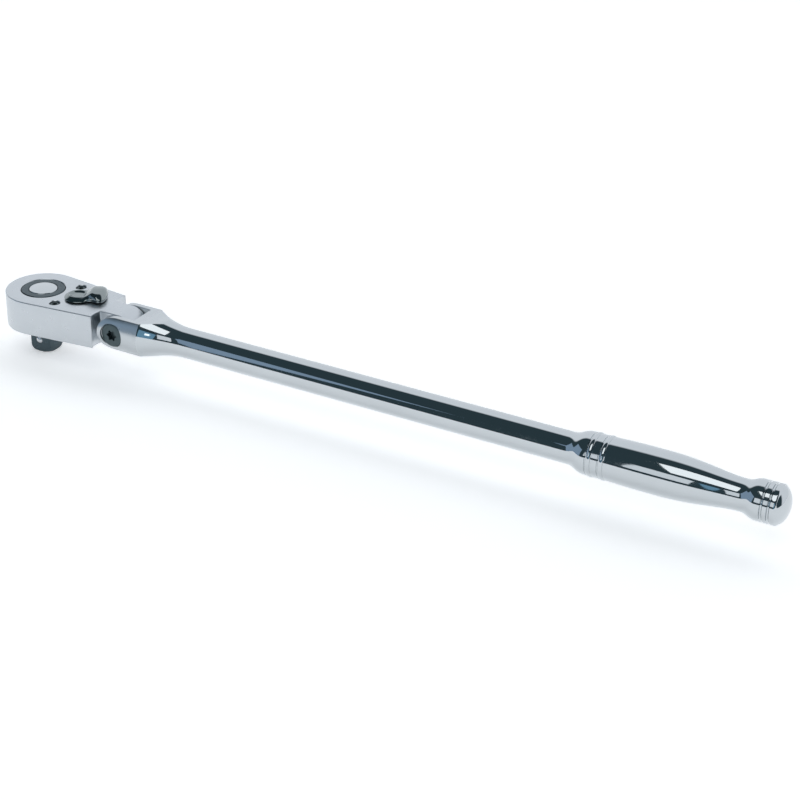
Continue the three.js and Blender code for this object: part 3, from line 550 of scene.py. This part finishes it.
hole = [before(-HALF_ACROSS - 1, 0), before(-HALF_ACROSS - 1, 2.05), before(-HALF_ACROSS, 2.05),
        before(-HALF_ACROSS + 0.6, BALL_HOLE), before(0, BALL_HOLE), before(0, 0)]
carve(gear, turned(hole, (0, 0, ball_middle.z), (0, 1, 0), 48))
dark_drive = plated_metal("dark_drive_steel", (0.05, 0.075, 0.088), (0.07, 0.098, 0.112), 0.3, 0.07,
                          grain=2400, bump=0.3, metallic=0.85)
make_piece(gear, "drive_gear_cut", dark_drive, "drive", ["drive_gear"])

# ---- Release button and socket ball ------------------------------------------
# A polished cap on a long stem that frees the ball; the ball is hardened bearing steel, held in
# its hole by a staked ring.

button_low, button_high = extent("release_button")
cap_top = button_high.z
cap_bottom = hub_top - 1.8
foot = button_low.z
GUTTER = 6.2                  # where the cap's dome meets its raised rim
gutter_z = hub_top + 0.16
button_half = [(0, foot), (2.1, foot), (2.4, foot + 0.3), (2.4, ball_middle.z - 0.4),
               (1.5, ball_middle.z + 1.85), (1.5, cap_bottom), (7.2, cap_bottom), (7.4, cap_bottom + 0.2),
               (7.4, hub_top - 0.2), (7.28, hub_top - 0.02), (7.0, hub_top + 0.14), (6.6, hub_top + 0.2),
               (GUTTER, gutter_z)]
for step in range(1, 13):
    reach = GUTTER * (1 - step / 12)
    button_half.append((reach, gutter_z + (cap_top - gutter_z) * (1 - (reach / GUTTER) ** 2)))
button = upright(button_half, steps=128)
make_piece(button, "release_button_turned", bright_chrome, "button",
           ["release_button"], crease=50)

ball = bmesh.new()
bmesh.ops.create_icosphere(ball, subdivisions=4, radius=(ball_high.z - ball_low.z) / 2,
                           matrix=Matrix.Translation(ball_middle))
ball_steel = plated_metal("ball_steel", (0.62, 0.64, 0.66), (0.55, 0.57, 0.6), 0.16, 0.04,
                          grain=3000, bump=0.05)
make_piece(ball, "socket_ball_ground", ball_steel, "ball", ["socket_ball"], crease=80)

# ---- Reverse lever -----------------------------------------------------------
# A cast and dark-plated thumb lever: a low round base with a scooped bowl over its axis, a waist
# and a domed pad. A parting groove runs round its wall; its shaft goes down to the cover plate.

LEVER_TURN = math.radians(29)
lever_low, lever_high = extent("reverse_lever")
BASE_LIFT = 2.6
PAD_LIFT = lever_high.z - head_top
PAD_DOME = 0.034              # how fast the pad falls away to either side
BOWL_DEPTH = 0.95
LOWEST_WALL = 0.34            # the foot of the wall clears the head by this much
SHAFT_RADIUS = 3.4
CLIP_GROOVE = 2.7
SEAL_GROOVE = 2.5
PLUNGER_BORE = 1.65


def lever_outline():
    """Half of the plan outline, from the nose to the middle of the pad's end."""
    half = [Vector((-7.6, 0))]
    for stretch in (((-7.6, 0), (-7.6, -4), (-4.5, -7.8), (0, -7.8)),
                    ((0, -7.8), (3.5, -7.8), (3.5, -6.2), (6.5, -6.4)),
                    ((6.5, -6.4), (9, -6.8), (9.5, -8.6), (11.5, -8.4)),
                    ((11.5, -8.4), (14, -8.2), (15.2, -4), (15.2, 0))):
        half += interpolate_bezier(*[Vector(p) for p in stretch], 19)[1:]
    return half


def ease(value, start, end):
    """0 before `start`, 1 after `end`, and a smooth climb between."""
    t = min(1, max(0, (value - start) / (end - start)))
    return t * t * (3 - 2 * t)


def lever_height(x, y):
    """Top surface over the head: base with its bowl, then the ramp up to the domed pad."""
    ramp = ease(x, 3.0, 8.2)
    height = BASE_LIFT + (PAD_LIFT - BASE_LIFT) * ramp
    height -= ramp * (PAD_DOME * y * y + 0.02 * max(0, x - 10.5) ** 2)
    bowl = 1 - ease(math.hypot((x + 0.4) / 1.15, y), 2.5, 4.5)
    return height - BOWL_DEPTH * bowl * (1 - ease(x, 2.6, 5.4))


def parting_height(x):
    """Height of the parting groove, low round the base and higher along the pad."""
    return 0.95 + 1.35 * ease(x, 2.5, 9)


half = lever_outline()
ring = half + [Vector((p.x, -p.y)) for p in reversed(half[1:-1])]


def foot_of(point):
    """The place on the lever's middle line that a point of the outline shrinks towards."""
    return Vector((min(9.5, max(-2.2, point.x * 0.78)), 0))


def next_ring(bm, verts):
    """Pulls a closed ring into a new one, and returns its corners in the same order."""
    edges = [bm.edges.get(pair) for pair in zip(verts, verts[1:] + verts[:1])]
    pulled = bmesh.ops.extrude_edge_only(bm, edges=edges)["geom"]
    fresh = {g for g in pulled if isinstance(g, bmesh.types.BMVert)}
    return [next(e.other_vert(v) for e in v.link_edges if e.other_vert(v) in fresh) for v in verts]


# The wall goes up with its parting groove, then the rings close in over the top.
CROWN_RINGS = 34
EDGE_ROUND = 0.42             # share of the way inward that the round edge takes
# Each ring is (how far inward, share of the parting height, share of the rise above it).
rings = [(0.075, 0.25, 0), (0.04, 0.4, 0), (0.012, 0.65, 0), (0.0, 0.88, 0), (0.024, 0.92, 0),
         (0.024, 0.97, 0), (0.0, 1.0, 0)]
for step in range(1, CROWN_RINGS + 1):
    inward = (step / CROWN_RINGS) ** 1.3
    rise = math.sqrt(1 - (1 - min(1, inward / EDGE_ROUND)) ** 2)
    rings.append((inward, 1.0, rise))
lever = bmesh.new()
verts, edges = run_of_edges(lever, [Vector((p.x, p.y, 0)) for p in ring])
edges.append(lever.edges.new((verts[-1], verts[0])))
bmesh.ops.contextual_create(lever, geom=edges)
for index, (inward, share, rise) in enumerate(rings):
    if index:
        verts = next_ring(lever, verts)
    for vert, p in zip(verts, ring):
        spot = p.lerp(foot_of(p), inward)
        lift = max(LOWEST_WALL, parting_height(p.x) * share)
        # The base slopes up like a cone to the bowl's rim; the pad's edge is round.
        cone = min(1, inward / EDGE_ROUND) if rise else 0
        climb = cone + (rise - cone) * (0.15 + 0.85 * ease(p.x, 2, 8))
        vert.co = Vector((spot.x, spot.y, lift + max(0, lever_height(spot.x, spot.y) - lift) * climb))
bmesh.ops.remove_doubles(lever, verts=lever.verts, dist=1e-4)
bmesh.ops.recalc_face_normals(lever, faces=lever.faces)
bmesh.ops.rotate(lever, verts=lever.verts, cent=(0, 0, 0), matrix=Matrix.Rotation(LEVER_TURN, 3, "Z"))
bmesh.ops.translate(lever, verts=lever.verts, vec=(LEVER_X, 0, head_top))
clip_z = roof_z - 0.95
shaft = upright([(0, lever_low.z), (3.1, lever_low.z), (SHAFT_RADIUS, lever_low.z + 0.3),
                 (SHAFT_RADIUS, clip_z - 0.15), (CLIP_GROOVE, clip_z - 0.15), (CLIP_GROOVE, clip_z + 0.75),
                 (SHAFT_RADIUS, clip_z + 0.75), (SHAFT_RADIUS, seal_z - 0.7), (SEAL_GROOVE, seal_z - 0.7),
                 (SEAL_GROOVE, seal_z + 0.7), (SHAFT_RADIUS, seal_z + 0.7), (SHAFT_RADIUS, head_top + 0.9),
                 (0, head_top + 0.9)], LEVER_X, 0, 64)
aim = Vector((-math.cos(LEVER_TURN), -math.sin(LEVER_TURN), 0))
plunger_z = axis_z - 1.4
shaft_middle = Vector((LEVER_X, 0, plunger_z))
across = Vector((0, 0, 1))
bore_floor = shaft_middle - 2.1 * aim
bore_mouth = shaft_middle + 5 * aim
plunger_bore = turned([bore_floor, bore_floor + PLUNGER_BORE * across,
                       bore_mouth + PLUNGER_BORE * across, bore_mouth], shaft_middle, aim, 32)
carve(shaft, plunger_bore)
carve(lever, shaft, "UNION")
dark_plate = plated_metal("dark_bright_plate", (0.30, 0.33, 0.33), (0.23, 0.26, 0.265), 0.07, 0.03,
                          grain=1600, bump=0.08)
make_piece(lever, "reverse_lever_cast", dark_plate, "lever", ["reverse_lever"], crease=38)

# ---- Inner pieces -------------------------------------------------------------
# Pawl, plunger, springs, washers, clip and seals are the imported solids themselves: ground or
# drawn steel with its grinding lines, blackened steel, and moulded rubber.

ground_steel = plated_metal("ground_steel", (0.56, 0.58, 0.6), (0.48, 0.5, 0.52), 0.3, 0.06,
                            grain=3200, bump=0.25, stretch=(1, 0.08, 1))
seal_rubber = plated_metal("seal_rubber", (0.018, 0.018, 0.02), (0.03, 0.03, 0.032), 0.62, 0.08,
                           grain=4200, bump=0.5, metallic=0.0)
inner = {"bare_steel": ground_steel, "seal_rubber": seal_rubber, "black_steel": black_oxide}
drawn_again = {"socket_ball", "pivot_screw", "cover_screw_near", "cover_screw_far", "drive_gear"}
for part in frame["record"]["subparts"]:
    if part["material_slot"] in inner and part["node"] not in drawn_again:
        solid = frame["nodes"][part["node"]]
        solid.data.materials.clear()
        solid.data.materials.append(inner[part["material_slot"]])

# ---- Studio -------------------------------------------------------------------
# A pale floor, lit a little from below, under a bright back sky. The front half of the room is dark
# slate and gives polished metal its dark bands; soft boxes and a window break them up.

floor_mesh = bmesh.new()
bmesh.ops.create_grid(floor_mesh, x_segments=8, y_segments=8, size=14)
bmesh.ops.translate(floor_mesh, verts=floor_mesh.verts, vec=(0.2, 0, -0.0002))
floor_data = bpy.data.meshes.new("floor")
floor_mesh.to_mesh(floor_data)
floor_mesh.free()
floor = bpy.data.objects.new("floor", floor_data)
bpy.context.scene.collection.objects.link(floor)
floor_paint = bpy.data.materials.new("floor_paint")
floor_paint.use_nodes = True
paint = floor_paint.node_tree.nodes["Principled BSDF"]
paint.inputs["Base Color"].default_value = (0.93, 0.93, 0.935, 1)
paint.inputs["Roughness"].default_value = 0.9
paint.inputs["Emission Color"].default_value = (1, 1, 1, 1)
paint.inputs["Emission Strength"].default_value = 0.42
floor_data.materials.append(floor_paint)

world = bpy.data.worlds.new("studio")
bpy.context.scene.world = world
world.use_nodes = True
sky = world.node_tree
direction = sky.nodes.new("ShaderNodeTexCoord")
facing = sky.nodes.new("ShaderNodeVectorMath")
facing.operation = "DOT_PRODUCT"
facing.inputs[1].default_value = (0, math.cos(math.radians(15)), -math.sin(math.radians(15)))
spread_out = sky.nodes.new("ShaderNodeMapRange")
spread_out.inputs["From Min"].default_value = -1
walls = sky.nodes.new("ShaderNodeValToRGB")
walls.color_ramp.elements[0].position = 0.47
walls.color_ramp.elements[0].color = (0.035, 0.06, 0.072, 1)
walls.color_ramp.elements[1].position = 0.53
walls.color_ramp.elements[1].color = (0.93, 0.97, 1.02, 1)
sky.links.new(direction.outputs["Generated"], facing.inputs[0])
sky.links.new(facing.outputs["Value"], spread_out.inputs["Value"])
sky.links.new(spread_out.outputs["Result"], walls.inputs["Fac"])
sky.links.new(walls.outputs["Color"], sky.nodes["Background"].inputs["Color"])


def soft_light(name, place, aimed_at, size, power, colour, in_gloss):
    """A rectangular light; `in_gloss` says if polished metal shows it."""
    light = bpy.data.lights.new(name, "AREA")
    light.shape = "RECTANGLE"
    light.size, light.size_y = size
    light.energy = power
    light.color = colour
    holder = bpy.data.objects.new(name, light)
    holder.location = place
    holder.rotation_euler = (Vector(aimed_at) - Vector(place)).to_track_quat("-Z", "Y").to_euler()
    holder.visible_glossy = in_gloss
    bpy.context.scene.collection.objects.link(holder)


soft_light("ceiling", (0.2, 0.3, 2.4), (0.2, 0, 0), (4.2, 4.2), 15, (1, 0.99, 0.98), False)


def far_light(name, towards, size, brightness, colour):
    """A soft box six metres off in the direction `towards`, seen in the polished metal."""
    power = brightness * math.pi * (size[0] * size[1])
    soft_light(name, Vector(towards).normalized() * 6, (0.15, 0, 0), size, power, colour, True)


far_light("roof_box", (0.12, -0.50, 0.85), (4.2, 3.4), 1.4, (0.97, 0.99, 1))
far_light("window", (0.26, -0.92, 0.25), (3.0, 3.2), 0.45, (0.35, 0.7, 1))
far_light("window_lamp", (0.18, -0.93, 0.31), (0.7, 0.9), 1.6, (1, 1, 1))
far_light("front_box", (-0.17, -0.91, 0.35), (1.7, 2.4), 0.95, (0.93, 0.96, 1))
far_light("side_wall", (-0.78, -0.60, 0.28), (5.0, 4.6), 0.45, (0.55, 0.74, 1))

camera_data = bpy.data.cameras.new("camera")
camera_data.lens = 94.5
camera_data.sensor_width = 36
camera_data.clip_end = 100
camera = bpy.data.objects.new("camera", camera_data)
right = Vector((0.87163, 0.49, 0.01272))
up = Vector((-0.23792, 0.40025, 0.88498))
back = right.cross(up)
turn = Matrix((right, up, back)).transposed().to_4x4()
camera.matrix_world = Matrix.Translation((0.65452, -0.79139, 0.5013)) @ turn
bpy.context.scene.collection.objects.link(camera)
bpy.context.scene.camera = camera
bpy.context.scene.view_settings.view_transform = "Standard"
